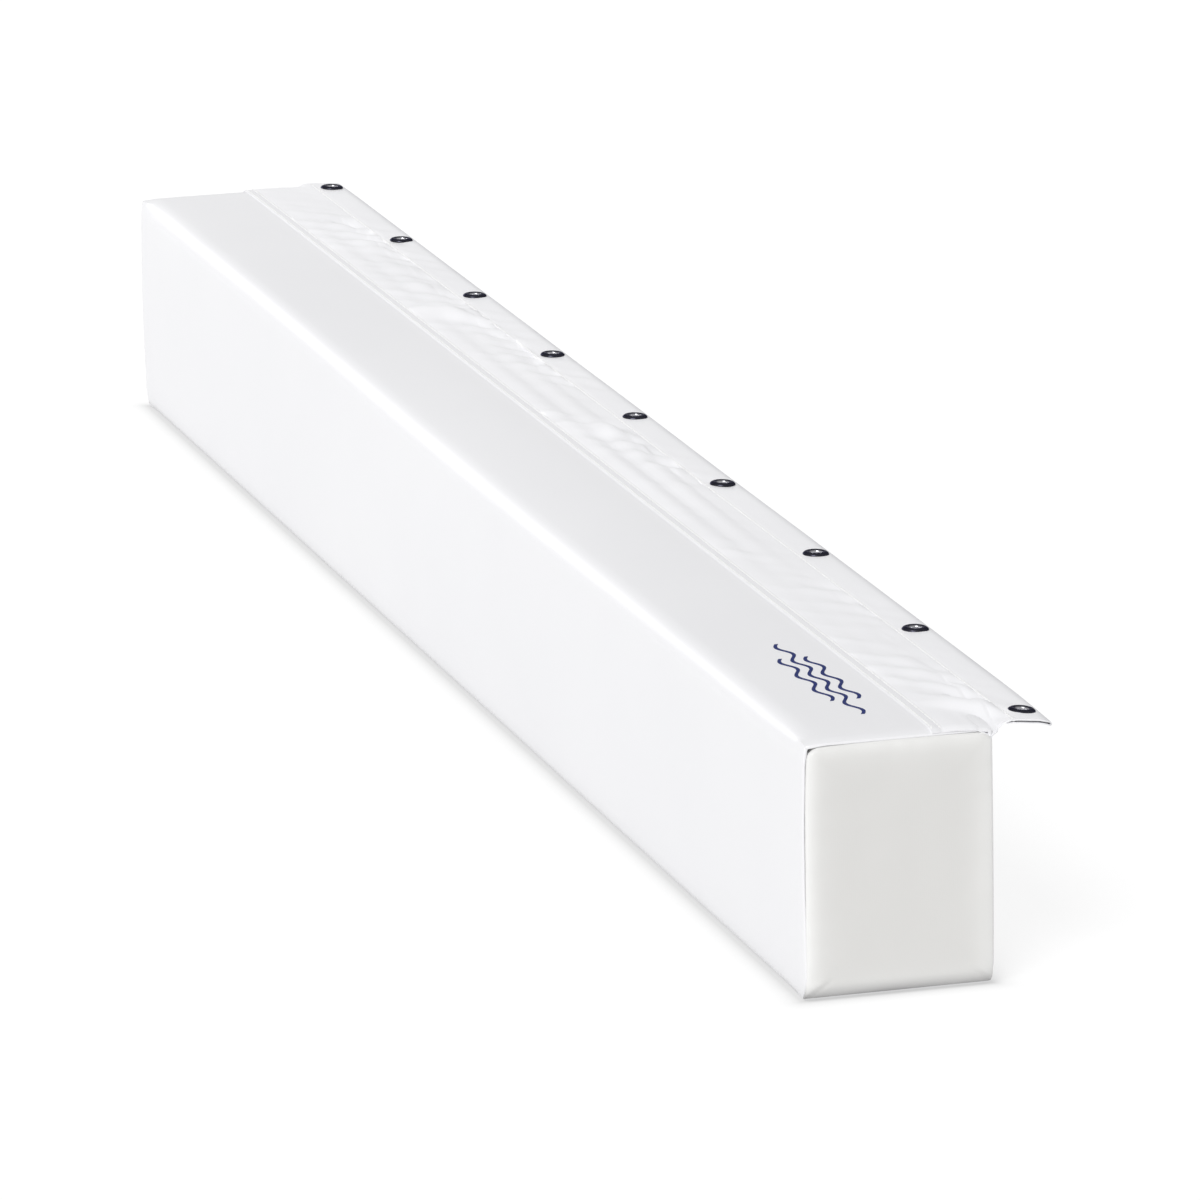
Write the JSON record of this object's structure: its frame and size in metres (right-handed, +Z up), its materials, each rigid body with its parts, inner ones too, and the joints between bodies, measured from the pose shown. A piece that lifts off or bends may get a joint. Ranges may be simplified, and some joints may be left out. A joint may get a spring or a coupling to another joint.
{
  "type": "dock bumper",
  "caption": "Long rectangular dock bumper: a foam block in a sewn white vinyl cover, with a hemmed flap of dark metal grommets along its top back edge.",
  "frame": {"origin": "centre of the underside of the whole bumper's box, block and flap together, at mid-length", "axes": "+X along the length, towards the printed end; +Y from the boat side to the dock side, the way the flap points; +Z up"},
  "size_m": [1.83, 0.17, 0.1778],
  "materials": {
    "cover_vinyl": "satin white marine vinyl",
    "end_vinyl": "satin off-white marine vinyl",
    "strip_vinyl": "satin white marine vinyl",
    "foam": "closed-cell foam",
    "thread": "bonded polyester thread",
    "webbing": "woven polyester webbing",
    "black_nickel": "polished black nickel plate",
    "print_film": "satin printed film"
  },
  "bodies": {
    "bumper": {"foam_plank_lower": "foam", "foam_plank_upper": "foam", "cover_wrap": "cover_vinyl", "end_panel_left": "end_vinyl", "end_panel_right": "end_vinyl", "end_thread_left": "thread", "end_thread_right": "thread", "top_strip": "strip_vinyl", "seam_thread_inner": "thread", "seam_thread_outer": "thread", "wave_print": "print_film"},
    "flap": {"flap_sheet": "strip_vinyl", "hem_webbing": "webbing", "hem_thread": "thread", "grommet_1": "black_nickel", "grommet_2": "black_nickel", "grommet_3": "black_nickel", "grommet_4": "black_nickel", "grommet_5": "black_nickel", "grommet_6": "black_nickel", "grommet_7": "black_nickel", "grommet_8": "black_nickel", "grommet_9": "black_nickel", "grommet_washer_1": "black_nickel", "grommet_washer_2": "black_nickel", "grommet_washer_3": "black_nickel", "grommet_washer_4": "black_nickel", "grommet_washer_5": "black_nickel", "grommet_washer_6": "black_nickel", "grommet_washer_7": "black_nickel", "grommet_washer_8": "black_nickel", "grommet_washer_9": "black_nickel"}
  },
  "joints": [
    {"name": "flap_fold", "type": "hinge", "parent": "bumper", "child": "flap", "pos_m": [0, 0.0488, 0.176], "axis": [1, 0, 0], "range_deg": [-85, 165]}
  ]
}
